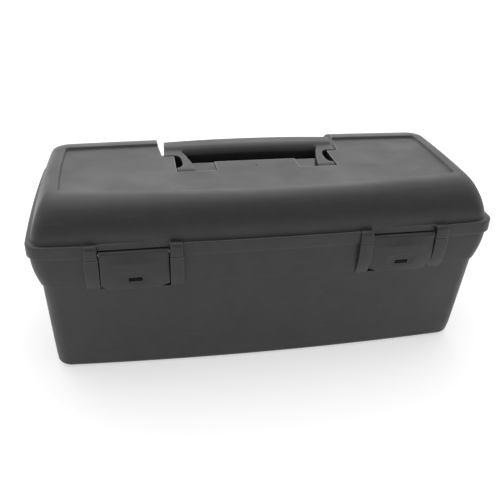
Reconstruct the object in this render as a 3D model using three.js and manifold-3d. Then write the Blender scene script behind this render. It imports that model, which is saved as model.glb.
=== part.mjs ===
// Moulded plastic toolbox: a deep bin, a domed lid with a folding carrying handle,
// two front latches and a lift-out tray. Millimetres, +Z up, front towards -Y.
import * as THREE from 'three';
import { mergeVertices } from 'three/addons/utils/BufferGeometryUtils.js';
import Module from 'manifold-3d';

const wasm = await Module();
wasm.setup();

// Overall sizes, measured over the lid's skirt
const caseLength = 406;
const caseDepth = 190;
const caseHeight = 168.3;
const sideBow = 6.4; // how much further out a long side is at its middle than at its corners
const endBow = 2.4;
const cornerRadius = 12.5;

// Heights of the bands, from the top of the lid down
const domeRise = 32.1;
const skirtHeight = 11.3;
const bellyHeight = 28.7;
const skirtTop = caseHeight - domeRise;
const skirtBottom = skirtTop - skirtHeight;
const shoulder = skirtBottom - bellyHeight;

// Walls and clearances
const wall = 2.4;
const skirtWall = 2.6;
const skirtGap = 1.5; // between the skirt and the bin's collar inside it
const collarRise = 5; // how far the collar stands up inside the skirt
const gap = 0.3; // between pieces that sit against each other
const swingGap = 0.7; // between pieces that swing past each other

// How far each band of the bin stands in from the skirt's outside
const collarInset = skirtWall + skirtGap;
const bellyTopInset = 1.8;
const bellyCurve = 2; // 1 gives a straight belly, more gives a rounder one
const shoulderStep = 1.2; // the belly's foot stands proud of the plain walls under it
const wallTopLengthInset = 8.3;
const wallTopDepthInset = 4.9;
const footLengthInset = 10.2;
const footDepthInset = 18.7;
const footCorner = 11;
const footRadius = 5.7;

// Dome and the shallow panel sunk into its top
const domeFootInset = 3.8;
const lipRadius = 1.8;
const domeEndRun = 17.3;
const domeEndLean = 0.62; // below 1 the ends slope in early, at 1 they are round like the long sides
const domeFrontRun = 21.6;
const domeRearRun = 36.8;
const topFrontBow = 13.5;
const topRearBow = 3.3;
const topEndBow = 1.4;
const topCorner = 13;
const panelSink = 2.2;
const panelEndBorder = 6.7;
const panelFrontBorder = 4.9;
const panelRearBorder = 3.4;
const panelCorner = 3;

// Handle well: a channel in the lid, open to the rear, wider where the grip's ends lie
const wellReach = 72; // from the rear edge of the top to the well's front wall
const wellWideDepth = 33.9; // the part of it that takes the grip's ends
const wellHalfWidth = 74;
const wellShoulder = 11; // how much wider the well is on each side there
const wellFlare = 3; // extra half width where the well runs out at the rear
const wellDepth = 27.7;
const tabHalfWidth = 38;
const tabReach = 21;

// Carrying handle, folded back into the well
const gripEndGap = 3; // grip end to well wall
const gripDepth = 24;
const gripRearMargin = 0.5; // in from the rear edge of the top
const gripHeight = 16;
const gripRise = 2.6; // the grip's top over the arms
const gripCrown = 1.2; // how much taller the grip is at its middle
const gripBow = 2;
const gripFrontRound = 9;
const gripEdgeRound = 3;
const endBlockWidth = 16;
const armWidth = 10.5;
const armWaist = 6.5; // arm to well wall at its slimmest
const armBend = 11; // length of the curve from the foot of the arm to its waist
const armRadius = 6.5;
const armSink = 1.4; // the arms' top below the top of the lid
const eyeSink = 0.8; // the eye at the pivot is lower still
const handlePinRadius = 2.3;

// Latches and the ribs beside them
const latchCentre = 115.4;
const latchBay = 57.7; // between the ribs
const latchDrop = 36; // from the latch's top edge to its lower edge
const latchTopBelowLip = 6.1;
const latchThickness = 3;
const latchSideGap = 0.6; // between a latch and the ribs beside it
const latchBarrel = 3;
const latchCrown = 2;
const latchCurl = 2.6; // how far the lower end curls in
const latchCornerCut = 3;
const latchPinRadius = 1.1;
const latchSwell = 8; // the crown grows to its full height over this length below the pin
const hookDrop = 25; // the latch's hook below its top edge
const hookThickness = 2;
const slotWidth = 11.5;
const slotHeight = 3.5;
const slotRise = 9.7; // slot centre above the latch's lower edge
const padHalfWidth = 13;
const padHalfHeight = 8.8;
const padProud = 0.8;
const ribWidth = 11.5;
const ribProud = 3;
const ribDrop = 33.5; // below the skirt
const bayBackInset = 8.2; // back wall of the bay behind the latch, in from the skirt's outside
const bayHeadroom = 1.3; // between the bay's back wall and the lid over it
const catchReach = 1.9;
const catchHeight = 5;
const boreWall = 1.2; // behind the latch pin's bore

// Hinges at the rear
const hingeCentre = 115;
const hingeWidth = 44;
const lidKnuckleWidth = 22;
const knuckleRadius = 3.8;
const hingePinRadius = 1.6;
const hingeStandOff = 4.6; // hinge axis behind the skirt
const hingeDrop = 2.3; // hinge axis below the skirt
const knuckleBite = 2.2; // how far a bracket reaches into the wall behind it

// Tray and the shelves that it rests on
const trayEndGap = 5.5;
const traySideGap = 7;
const trayHeight = 34;
const trayDraft = 3;
const trayWall = 2;
const trayRimWidth = 2.5;
const trayFootRound = 1.5;
const trayBelowSkirt = 6.45; // the tray's rim below the foot of the lid's skirt
const trayCorner = 12;
const spineOffset = 8; // the dividing wall that is also the tray's handle
const spineWall = 4;
const spineOverSlot = 6;
const handSlotLength = 100;
const handSlotHeight = 15;
const crossWallOffset = 62;
const shelfReach = 9;
const shelfThickness = 3;
const shelfHalfLength = 48;
const boreGap = 0.3;

const cornerSteps = 5;
const sideSteps = 10;
const endSteps = 4;

function rounded(halfLength, front, rear, corner) {
  const points = [];
  const corners = [[1, -front], [1, rear], [-1, rear], [-1, -front]];
  corners.forEach(([side, edge], index) => {
    const centreX = side * (halfLength - corner);
    const centreY = edge - Math.sign(edge) * corner;
    for (let step = 0; step <= cornerSteps; step += 1) {
      const angle = (index - 1 + step / cornerSteps) * (Math.PI / 2);
      points.push([centreX + corner * Math.cos(angle), centreY + corner * Math.sin(angle)]);
    }
    const [nextSide, nextEdge] = corners[(index + 1) % 4];
    const last = points[points.length - 1];
    const next = index % 2 === 0
      ? [last[0], nextEdge - Math.sign(nextEdge) * corner]
      : [nextSide * (halfLength - corner), last[1]];
    const steps = index % 2 === 0 ? endSteps : sideSteps;
    for (let step = 1; step < steps; step += 1) {
      const share = step / steps;
      points.push([last[0] + (next[0] - last[0]) * share, last[1] + (next[1] - last[1]) * share]);
    }
  });
  return points;
}

// One level of the case: a rounded rectangle whose sides bow outwards
function ring(z, lengthInset, frontInset, options = {}) {
  const { rearInset = frontInset, corner = cornerRadius } = options;
  const { frontBow = sideBow, rearBow = sideBow, endsBow = endBow } = options;
  const halfLength = caseLength / 2 - lengthInset;
  const front = caseDepth / 2 - frontInset;
  const rear = caseDepth / 2 - rearInset;
  return rounded(halfLength, front, rear, corner).map(([x, y]) => {
    const depth = y < 0 ? front : rear;
    const bow = y < 0 ? frontBow : rearBow;
    const bowedX = x * (1 - (endsBow / halfLength) * (y / depth) ** 2);
    const bowedY = y * (1 - (bow / depth) * (x / halfLength) ** 2);
    return new THREE.Vector3(bowedX, bowedY, z);
  });
}

function toSolid(geometry) {
  const bare = geometry.clone();
  bare.deleteAttribute('normal');
  bare.deleteAttribute('uv');
  const merged = mergeVertices(bare, 1e-4);
  return new wasm.Manifold(new wasm.Mesh({
    numProp: 3,
    vertProperties: Float32Array.from(merged.attributes.position.array),
    triVerts: Uint32Array.from(merged.index.array),
  }));
}

function toGeometry(solid) {
  const { vertProperties, triVerts } = solid.getMesh();
  const geometry = new THREE.BufferGeometry();
  geometry.setAttribute('position', new THREE.BufferAttribute(vertProperties, 3));
  geometry.setIndex(new THREE.BufferAttribute(triVerts, 1));
  geometry.computeVertexNormals();
  return geometry;
}

const join = (first, ...others) => others.reduce((solid, other) => solid.add(other), first);
const cut = (first, ...others) => others.reduce((solid, other) => solid.subtract(other), first);

// Skins a row of matching rings and closes both ends
function loft(rings, flatten) {
  const count = rings[0].length;
  const positions = rings.flat().flatMap((point) => point.toArray());
  const indices = [];
  for (let row = 0; row < rings.length - 1; row += 1) {
    for (let step = 0; step < count; step += 1) {
      const here = row * count + step;
      const beside = row * count + ((step + 1) % count);
      indices.push(here, beside, beside + count, here, beside + count, here + count);
    }
  }
  const lastRow = (rings.length - 1) * count;
  for (const [a, b, c] of THREE.ShapeUtils.triangulateShape(rings[0].map(flatten), [])) {
    indices.push(c, b, a);
  }
  for (const [a, b, c] of THREE.ShapeUtils.triangulateShape(rings.at(-1).map(flatten), [])) {
    indices.push(lastRow + a, lastRow + b, lastRow + c);
  }
  const geometry = new THREE.BufferGeometry();
  geometry.setAttribute('position', new THREE.Float32BufferAttribute(positions, 3));
  geometry.setIndex(indices);
  return toSolid(geometry);
}

const stack = (rings) => loft(rings, (point) => new THREE.Vector2(point.x, point.y));

function extruded(points, length) {
  const shape = new THREE.Shape(points.map(([u, v]) => new THREE.Vector2(u, v)));
  return new THREE.ExtrudeGeometry(shape, { depth: length, bevelEnabled: false });
}

// An outline in X and Y raised from one height to another
function prismUp(points, from, to) {
  return toSolid(extruded(points, to - from).translate(0, 0, from));
}

// An outline in Y and Z carried across from one X to another
function prismAcross(points, from, to) {
  const turn = new THREE.Matrix4().makeBasis(
    new THREE.Vector3(0, 1, 0),
    new THREE.Vector3(0, 0, 1),
    new THREE.Vector3(1, 0, 0),
  );
  return toSolid(extruded(points, to - from).applyMatrix4(turn).translate(from, 0, 0));
}

function block(x0, x1, y0, y1, z0, z1) {
  return toSolid(new THREE.BoxGeometry(x1 - x0, y1 - y0, z1 - z0)
    .translate((x0 + x1) / 2, (y0 + y1) / 2, (z0 + z1) / 2));
}

function arc(centreU, centreV, radius, fromDegrees, toDegrees, steps) {
  return Array.from({ length: steps + 1 }, (_, step) => {
    const angle = THREE.MathUtils.degToRad(fromDegrees + ((toDegrees - fromDegrees) * step) / steps);
    return [centreU + radius * Math.cos(angle), centreV + radius * Math.sin(angle)];
  });
}

// A round bar along X
function rod(radius, from, to, y, z) {
  return prismAcross(arc(y, z, radius, 0, 337.5, 15), from, to);
}

const bowAt = (x) => sideBow * (x / (caseLength / 2)) ** 2;
const skirtFront = (x) => -(caseDepth / 2 - bowAt(x));
const skirtRear = (x) => caseDepth / 2 - bowAt(x);

// How far the bin stands in at a height, from the insets at the ends of its plain wall
function binInset(z, wallTopInset, footInset) {
  if (z < shoulder) {
    return wallTopInset + (footInset - wallTopInset) * (1 - z / shoulder);
  }
  const bellyFootInset = wallTopInset - shoulderStep;
  return bellyTopInset + (bellyFootInset - bellyTopInset) * ((skirtBottom - z) / bellyHeight) ** bellyCurve;
}

const lengthInsetAt = (z) => binInset(z, wallTopLengthInset, footLengthInset);
const depthInsetAt = (z) => binInset(z, wallTopDepthInset, footDepthInset);

// The bin's outside as rings from the ground to the top of its collar
function binRings(thickness, floor, top) {
  const level = (z, length, depth) => {
    const corner = footCorner + (cornerRadius - footCorner) * (z / skirtBottom) - thickness;
    return ring(z, length + thickness, depth + thickness, { corner });
  };
  const rings = [0, 30, 60, 90].map((degrees) => {
    const angle = THREE.MathUtils.degToRad(degrees);
    const inwards = footRadius * (1 - Math.sin(angle));
    const z = floor + footRadius * (1 - Math.cos(angle));
    return level(z, footLengthInset + inwards, footDepthInset + inwards);
  });
  rings.push(level(shoulder - shoulderStep / 2, wallTopLengthInset, wallTopDepthInset));
  const ledge = skirtBottom - swingGap - thickness;
  const bellySteps = 5;
  for (let step = 0; step <= bellySteps; step += 1) {
    const z = shoulder + (ledge - shoulder) * (step / bellySteps);
    rings.push(level(z, lengthInsetAt(z), depthInsetAt(z)));
  }
  rings.push(level(ledge, collarInset, collarInset), level(top, collarInset, collarInset));
  return rings;
}

const latchTop = skirtTop - latchTopBelowLip;
const latchAxisZ = latchTop - latchBarrel;
const latchAxisY = skirtFront(latchCentre) + latchBarrel;
const ribBack = latchAxisY + latchPinRadius + boreGap + boreWall;

// The lid's half of a rib, deep enough to carry the latch pin
function lidRib(x) {
  const face = skirtFront(x) - ribProud;
  const top = skirtTop + lipRadius / 2;
  const round = ribProud + 1;
  const outline = [
    [ribBack, skirtBottom],
    [ribBack, top],
    ...arc(face + round, top - round, round, 90, 180, 4),
    [face, skirtBottom],
  ];
  return prismAcross(outline, x - ribWidth / 2, x + ribWidth / 2);
}

// The bin's half carries the line of the rib on down the belly
function binRib(x) {
  const face = skirtFront(x) - ribProud;
  const top = skirtBottom - swingGap;
  const foot = skirtBottom - ribDrop;
  const footFace = skirtFront(x) + depthInsetAt(foot);
  const curve = new THREE.QuadraticBezierCurve(
    new THREE.Vector2(face, top),
    new THREE.Vector2(face, foot + ribDrop / 3),
    new THREE.Vector2(footFace, foot),
  );
  const outline = [
    [footFace + wall / 2, foot],
    [skirtFront(x) + bellyTopInset + wall / 2, top],
    ...curve.getPoints(6).map((point) => point.toArray()),
  ];
  return prismAcross(outline, x - ribWidth / 2, x + ribWidth / 2);
}

const ribCentres = [-1, 1].flatMap((side) => [
  side * latchCentre - (latchBay + ribWidth) / 2,
  side * latchCentre + (latchBay + ribWidth) / 2,
]);

const bayBack = skirtFront(latchCentre) + bayBackInset;
const bayTop = skirtTop - wall - bayHeadroom;
const bayFloor = latchTop - latchDrop - 2 * swingGap;
const hookZ = latchTop - hookDrop;
const catchZ = hookZ + swingGap + gap;

// The niche in the bin behind a latch
function bayCut(side) {
  const centre = side * latchCentre;
  const half = latchBay / 2;
  return block(centre - half, centre + half, skirtFront(0) - ribProud, bayBack, bayFloor, caseHeight);
}

// Room beside the bay for the lid's ribs, which reach in past the collar
function ribRelief(side) {
  const centre = side * latchCentre;
  const half = latchBay / 2 + ribWidth + swingGap;
  const front = skirtFront(0) - ribProud - 1;
  return block(centre - half, centre + half, front, ribBack + swingGap, skirtBottom - swingGap, caseHeight);
}

// The niche's own back, cheeks and floor, and the catch that the latch closes over
function bayLining(side, outside) {
  const centre = side * latchCentre;
  const half = latchBay / 2;
  const front = skirtFront(0);
  const back = bayBack + wall;
  const low = bayFloor - wall;
  const backWall = block(centre - half - wall, centre + half + wall, bayBack, back, low, bayTop);
  const floor = block(centre - half, centre + half, front, back, low, bayFloor);
  const cheeks = [-1, 1].map((end) => {
    const middle = centre + end * (half + wall / 2);
    return block(middle - wall / 2, middle + wall / 2, front, back, low, skirtBottom + collarRise);
  });
  const catchBar = prismAcross([
    [bayBack + wall / 2, catchZ],
    [bayBack + wall / 2, catchZ + catchHeight],
    [bayBack - catchReach, catchZ + catchReach],
    [bayBack - catchReach, catchZ],
  ], centre - latchBay / 4, centre + latchBay / 4);
  return join(backWall, join(floor, ...cheeks).intersect(outside), catchBar);
}

const hingeY = skirtRear(hingeCentre) + hingeStandOff;
const hingeZ = skirtBottom - hingeDrop;

// The bin's pair of knuckles and the bracket under each
function binKnuckles(side) {
  const root = skirtRear(hingeCentre) - bellyTopInset - knuckleBite;
  const outline = [
    ...arc(hingeY, hingeZ, knuckleRadius, 180, -60, 12),
    [root, hingeZ - knuckleRadius * 4],
    [root, hingeZ],
  ];
  const inner = lidKnuckleWidth / 2 + gap;
  const outer = hingeWidth / 2;
  const centre = side * hingeCentre;
  return join(
    prismAcross(outline, centre - outer, centre - inner),
    prismAcross(outline, centre + inner, centre + outer),
  );
}

function lidKnuckle(side) {
  const root = skirtRear(hingeCentre) - skirtWall / 2;
  const under = skirtBottom + swingGap;
  const outline = [
    [root, hingeZ + knuckleRadius * 3.5],
    ...arc(hingeY, hingeZ, knuckleRadius, 50, -180, 12),
    [hingeY - knuckleRadius, under],
    [root, under],
  ];
  const centre = side * hingeCentre;
  return prismAcross(outline, centre - lidKnuckleWidth / 2, centre + lidKnuckleWidth / 2);
}

function hingeBore(side) {
  const centre = side * hingeCentre;
  return rod(hingePinRadius + boreGap, centre - hingeWidth, centre + hingeWidth, hingeY, hingeZ);
}

const trayBottom = skirtBottom - trayBelowSkirt - trayHeight;
const shelfTop = trayBottom - gap;
const binInsideEnd = caseLength / 2 - lengthInsetAt(shelfTop) - wall;
const binInsideSide = caseDepth / 2 - depthInsetAt(shelfTop) - wall - sideBow;

// A shelf on an end wall, with three gussets under it
function trayShelf(side) {
  const inner = binInsideEnd - shelfReach;
  const top = shelfTop;
  const span = [inner, binInsideEnd + wall / 2].map((x) => side * x).sort((a, b) => a - b);
  const shelf = block(...span, -shelfHalfLength, shelfHalfLength, top - shelfThickness, top);
  const gussets = [-1, 0, 1].map((place) => {
    const y = place * (shelfHalfLength - wall);
    return block(...span, y - wall / 2, y + wall / 2, top - 3 * shelfThickness, top);
  });
  return join(shelf, ...gussets);
}

function buildBin() {
  const collarTop = skirtBottom + collarRise;
  const outside = stack(binRings(0, 0, collarTop));
  const inside = stack(binRings(wall, wall, collarTop + 1));
  const sides = [-1, 1];
  let bin = cut(outside, inside);
  bin = join(bin, ...ribCentres.map(binRib));
  bin = cut(bin, ...sides.map(bayCut));
  bin = join(bin, ...sides.map((side) => bayLining(side, outside)));
  bin = join(bin, ...sides.map(binKnuckles), ...sides.map(trayShelf));
  return cut(bin, ...sides.map(ribRelief), ...sides.map(hingeBore));
}

// Rings of the dome from its foot to its top, drawn in by a wall thickness
function domeRings(thickness, top) {
  const steps = 7;
  const corner = (share) => cornerRadius - thickness + (topCorner - cornerRadius) * share;
  return Array.from({ length: steps + 1 }, (_, step) => {
    const angle = (step / steps) * (Math.PI / 2);
    const run = 1 - Math.cos(angle);
    return ring(
      skirtTop + (top - skirtTop) * Math.sin(angle),
      domeFootInset + thickness + domeEndRun * run ** domeEndLean,
      domeFootInset + thickness + domeFrontRun * run,
      {
        rearInset: domeFootInset + thickness + domeRearRun * run,
        corner: corner(run),
        frontBow: sideBow + (topFrontBow - sideBow) * run,
        rearBow: sideBow + (topRearBow - sideBow) * run,
        endsBow: endBow + (topEndBow - endBow) * run,
      },
    );
  });
}

function lidOutside() {
  const lip = [0, 30, 60, 90].map((degrees) => {
    const angle = THREE.MathUtils.degToRad(degrees);
    const inwards = lipRadius * (1 - Math.cos(angle));
    return ring(skirtTop - lipRadius * (1 - Math.sin(angle)), inwards, inwards);
  });
  const topEdge = domeFootInset + domeEndRun;
  const topFront = domeFootInset + domeFrontRun;
  const topRear = domeFootInset + domeRearRun;
  const panel = (z, slope) => ring(z, topEdge + panelEndBorder + slope, topFront + panelFrontBorder + slope, {
    rearInset: topRear + panelRearBorder + slope,
    corner: panelCorner,
    frontBow: topFrontBow,
    rearBow: topRearBow,
    endsBow: topEndBow,
  });
  return stack([
    ring(skirtBottom, 0, 0),
    ...lip,
    ...domeRings(0, caseHeight),
    panel(caseHeight, 0),
    panel(caseHeight - panelSink, panelSink / 4),
  ]);
}

function lidInside() {
  const skirt = [skirtBottom - 1, skirtTop - wall].map((z) => ring(z, skirtWall, skirtWall));
  return stack([...skirt, ...domeRings(wall, caseHeight - panelSink - wall)]);
}

const topRearEdge = caseDepth / 2 - domeFootInset - domeRearRun;
const wellFront = topRearEdge - wellReach;
const wellStep = topRearEdge - wellWideDepth;
const wellRearHalfWidth = wellHalfWidth + wellShoulder;

function wellPlan(grow) {
  const front = wellFront - grow;
  const narrow = wellHalfWidth + grow;
  const wide = wellRearHalfWidth + grow;
  const step = wellStep - grow;
  return [
    [-narrow, front], [narrow, front], [narrow, step], [wide, step],
    [wide + wellFlare, topRearEdge], [wide + wellFlare, caseDepth],
    [-wide - wellFlare, caseDepth], [-wide - wellFlare, topRearEdge],
    [-wide, step], [-narrow, step],
  ];
}

const wellFloor = caseHeight - wellDepth;
const armTop = caseHeight - armSink;
const pivotY = wellFront + swingGap + armRadius;
const pivotZ = armTop - eyeSink - armRadius;
const gripRear = topRearEdge - gripRearMargin;
const gripHalf = wellRearHalfWidth - gripEndGap;

const eaveFront = skirtFront(latchCentre) + domeFootInset - gap;

// Closes the lid under the foot of the dome, over the rear of a latch
function latchEave(side) {
  const centre = side * latchCentre;
  const half = latchBay / 2 + wall / 2;
  return block(centre - half, centre + half, eaveFront, ribBack, latchTop + swingGap, skirtTop);
}

// The lid is cut right through behind a latch, and only its lip is cut away above the latch
function latchNotch(side) {
  const centre = side * latchCentre;
  const half = latchBay / 2;
  const front = skirtFront(0) - ribProud - 1;
  const back = bayBack - gap;
  const low = skirtBottom - 1;
  return join(
    block(centre - half, centre + half, front, back, low, latchTop + swingGap),
    block(centre - half, centre + half, front, eaveFront, low, skirtTop + 1),
  );
}

function buildLid() {
  const outside = lidOutside();
  const sides = [-1, 1];
  const well = prismUp(wellPlan(wall), wellFloor - wall, caseHeight).intersect(outside);
  const tab = block(
    -tabHalfWidth, tabHalfWidth,
    wellFront - wall / 2, wellFront + tabReach,
    caseHeight - panelSink - wall, caseHeight - panelSink,
  );
  let lid = join(cut(outside, lidInside()), well);
  lid = cut(lid, prismUp(wellPlan(0), wellFloor, caseHeight + 1));
  lid = join(lid, tab, ...ribCentres.map(lidRib), ...sides.map(latchEave), ...sides.map(lidKnuckle));
  lid = cut(lid, ...sides.map(latchNotch), ...sides.map(hingeBore));
  const pinBores = sides.map((side) => {
    const from = side * (wellHalfWidth - 1);
    const to = side * (wellHalfWidth + wall + 1);
    return rod(handlePinRadius + boreGap, Math.min(from, to), Math.max(from, to), pivotY, pivotZ);
  });
  const latchBores = sides.map((side) => {
    const reach = latchBay / 2 + ribWidth - wall;
    const centre = side * latchCentre;
    return rod(latchPinRadius + boreGap, centre - reach, centre + reach, latchAxisY, latchAxisZ);
  });
  return cut(lid, ...pinBores, ...latchBores);
}

// A slice across the grip: lightly rounded behind, well rounded in front
function gripSlice(x) {
  const share = x / gripHalf;
  const rear = gripRear - gripBow * share ** 2;
  const front = gripRear - gripDepth;
  const top = armTop + gripRise + gripCrown * (1 - share ** 2);
  const bottom = armTop + gripRise - gripHeight;
  const corner = (y, z, radius, from) => arc(y, z, radius, from, from + 90, 5);
  return [
    ...corner(rear - gripEdgeRound, bottom + gripEdgeRound, gripEdgeRound, 270),
    ...corner(rear - gripEdgeRound, top - gripEdgeRound, gripEdgeRound, 0),
    ...corner(front + gripFrontRound, top - gripFrontRound, gripFrontRound, 90),
    ...corner(front + gripEdgeRound, bottom + gripEdgeRound, gripEdgeRound, 180),
  ].map(([y, z]) => new THREE.Vector3(x, y, z));
}

// Seen from above an arm is wide at its foot, slim behind it, and spreads into the grip's end block
function armPlan() {
  const tip = wellFront + swingGap;
  const blockFront = wellStep + swingGap + gap;
  const blockInner = gripHalf - endBlockWidth;
  const footOuter = wellHalfWidth - swingGap;
  const waistOuter = wellHalfWidth - armWaist;
  const inner = waistOuter - armWidth;
  const footRear = pivotY + armRadius / 2;
  const waistY = footRear + armBend;
  const rear = gripRear - gripBow - gripEdgeRound;
  const plan = new THREE.Path();
  plan.moveTo(inner, tip);
  plan.lineTo(footOuter, tip);
  plan.lineTo(footOuter, footRear);
  plan.quadraticCurveTo(waistOuter, footRear, waistOuter, waistY);
  plan.quadraticCurveTo(waistOuter, blockFront, footOuter, blockFront);
  plan.lineTo(gripHalf, blockFront);
  plan.lineTo(gripHalf, rear);
  plan.lineTo(blockInner, rear);
  plan.lineTo(blockInner, gripRear - gripDepth);
  plan.quadraticCurveTo(inner, waistY, inner, tip);
  return plan.getPoints(6).slice(0, -1).map((point) => point.toArray());
}

// Seen from the side it is a round eye, a slim arm and the block at the grip's end
function armSide() {
  const blockFront = gripRear - gripDepth;
  const rear = gripRear - gripBow - gripEdgeRound;
  const bottom = armTop + gripRise - gripHeight;
  return [
    ...arc(pivotY, pivotZ, armRadius, 270, 90, 8),
    [blockFront, armTop],
    [rear, armTop + gripRise],
    [rear, bottom],
    [blockFront, bottom],
    [blockFront - armRadius, pivotZ - armRadius],
  ];
}

function buildHandle() {
  const slices = 12;
  const grip = loft(
    Array.from({ length: slices + 1 }, (_, step) => gripSlice(gripHalf * ((2 * step) / slices - 1))),
    (point) => new THREE.Vector2(point.y, point.z),
  );
  const right = prismUp(armPlan(), wellFloor, caseHeight + gripRise);
  const arms = join(right, right.mirror([1, 0, 0])).intersect(prismAcross(armSide(), -gripHalf, gripHalf));
  const bore = rod(handlePinRadius + boreGap, -gripHalf, gripHalf, pivotY, pivotZ);
  return cut(join(arms, grip), bore);
}

function buildHandlePin(side) {
  const inner = side * (wellHalfWidth - armWaist - armWidth + 1);
  const outer = side * (wellHalfWidth + wall - gap);
  return rod(handlePinRadius, Math.min(inner, outer), Math.max(inner, outer), pivotY, pivotZ);
}

// One upright slice through a latch, at a distance from its middle
function latchSlice(centre, offset) {
  const half = latchBay / 2 - latchSideGap;
  const share = Math.abs(offset) / half;
  const crown = latchCrown * (1 - share ** 2);
  const foot = latchTop - latchDrop + Math.max(0, share - 0.7) / 0.3 * latchCornerCut;
  const face = latchAxisY - latchBarrel;
  const straight = latchTop - latchDrop / 2;
  const faceAt = (z) => {
    const curl = z < straight ? latchCurl * ((straight - z) / (latchDrop / 2)) ** 2 : 0;
    const swell = Math.min(1, Math.max(0, (latchAxisZ - z) / latchSwell));
    return face - crown * swell + curl;
  };
  const down = Array.from({ length: 8 }, (_, step) => latchAxisZ + (foot - latchAxisZ) * (step / 7));
  const outer = down.map((z) => [faceAt(z), z]);
  const inner = down.slice(1).reverse().map((z) => [faceAt(z) + latchThickness, z]);
  const barrel = arc(latchAxisY, latchAxisZ, latchBarrel, -50, 165, 9);
  return [...barrel, ...outer, ...inner].map(([y, z]) => new THREE.Vector3(centre + offset, y, z));
}

function buildLatch(side) {
  const centre = side * latchCentre;
  const half = latchBay / 2 - latchSideGap;
  const shares = [-1, -0.85, -0.7, -0.35, 0, 0.35, 0.7, 0.85, 1];
  const plate = loft(
    shares.map((share) => latchSlice(centre, share * half)),
    (point) => new THREE.Vector2(point.y, point.z),
  );
  const slotZ = latchTop - latchDrop + slotRise;
  const padFace = latchAxisY - latchBarrel - latchCrown + latchCurl / 4 - padProud / 2;
  const pad = toSolid(new THREE.CylinderGeometry(1, 1, latchThickness + 1, 24)
    .scale(padHalfWidth, 1, padHalfHeight)
    .translate(centre, padFace + (latchThickness + 1) / 2, slotZ));
  const slot = block(
    centre - slotWidth / 2, centre + slotWidth / 2,
    padFace - 5, padFace + 20,
    slotZ - slotHeight / 2, slotZ + slotHeight / 2,
  );
  const hookBack = bayBack - catchReach - swingGap;
  const hook = block(
    centre - latchBay / 4, centre + latchBay / 4,
    latchAxisY - latchBarrel + latchThickness / 2, hookBack,
    hookZ - hookThickness, hookZ,
  );
  const bore = rod(latchPinRadius + boreGap, centre - latchBay, centre + latchBay, latchAxisY, latchAxisZ);
  return cut(join(plate, pad, hook), slot, bore);
}

function buildLatchPin(side) {
  const reach = latchBay / 2 + ribWidth - wall - gap;
  const centre = side * latchCentre;
  return rod(latchPinRadius, centre - reach, centre + reach, latchAxisY, latchAxisZ);
}

function buildHingePin(side) {
  const centre = side * hingeCentre;
  const half = hingeWidth / 2;
  return rod(hingePinRadius, centre - half, centre + half, hingeY, hingeZ);
}

function trayRing(z, grow) {
  const halfLength = binInsideEnd - trayEndGap + grow;
  const halfDepth = binInsideSide - traySideGap + grow;
  const corner = Math.max(trayCorner + grow, 1);
  return rounded(halfLength, halfDepth, halfDepth, corner).map(([x, y]) => new THREE.Vector3(x, y, z));
}

function buildTray() {
  const top = trayBottom + trayHeight;
  const halfLength = binInsideEnd - trayEndGap;
  const halfDepth = binInsideSide - traySideGap;
  const skin = trayWall / 2;
  const inside = stack([
    trayRing(trayBottom + trayWall, -trayWall - trayFootRound),
    trayRing(trayBottom + trayWall + trayFootRound, -trayWall),
    trayRing(top + 1, trayDraft - trayWall),
  ]);
  const outside = stack([
    trayRing(trayBottom, -trayFootRound),
    trayRing(trayBottom + trayFootRound, 0),
    trayRing(top - trayWall, trayDraft),
    trayRing(top - trayWall, trayDraft + trayRimWidth),
    trayRing(top, trayDraft + trayRimWidth),
  ]);
  const room = stack([
    trayRing(trayBottom, -trayFootRound - skin),
    trayRing(trayBottom + trayFootRound, -skin),
    trayRing(top, trayDraft - skin),
  ]);
  const floorZ = trayBottom + trayWall / 2;
  const spineTop = top - gap;
  const slotTop = spineTop - spineOverSlot;
  const spineY = spineOffset;
  const halfSpine = spineWall / 2;
  const spine = block(-halfLength, halfLength, spineY - halfSpine, spineY + halfSpine, floorZ, spineTop);
  const crossWalls = [-1, 1].map((side) => {
    const x = side * crossWallOffset;
    return block(x - trayWall / 2, x + trayWall / 2, spineY, halfDepth + trayDraft, floorZ, slotTop);
  });
  const handSlot = block(
    -handSlotLength / 2, handSlotLength / 2,
    spineY - spineWall, spineY + spineWall,
    slotTop - handSlotHeight, slotTop,
  );
  const walls = cut(join(spine, ...crossWalls).intersect(room), handSlot);
  return join(cut(outside, inside), walls);
}

const moulded = { color: 0x3c3d3c, roughness: 0.42, metalness: 0 };
const trayPlastic = { color: 0x2b2c2d, roughness: 0.5, metalness: 0 };
const steel = { color: 0xb4b6b8, roughness: 0.3, metalness: 1 };

const model = new THREE.Group();

function place(name, solid, finish) {
  const mesh = new THREE.Mesh(toGeometry(solid), new THREE.MeshStandardMaterial(finish));
  mesh.name = name;
  model.add(mesh);
}

place('bin', buildBin(), moulded);
place('lid_shell', buildLid(), moulded);
place('carry_handle', buildHandle(), moulded);
place('tray', buildTray(), trayPlastic);
for (const [side, hand] of [[-1, 'left'], [1, 'right']]) {
  place(`latch_${hand}`, buildLatch(side), moulded);
  place(`latch_pin_${hand}`, buildLatchPin(side), steel);
  place(`hinge_pin_${hand}`, buildHingePin(side), steel);
  place(`handle_pin_${hand}`, buildHandlePin(side), steel);
}

// The origin is on the ground, in the middle of the whole object
const box = new THREE.Box3().setFromObject(model);
model.position.y = -(box.min.y + box.max.y) / 2;

export default model;
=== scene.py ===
import math
import bmesh
import bpy
from mathutils import Matrix, Vector


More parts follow.
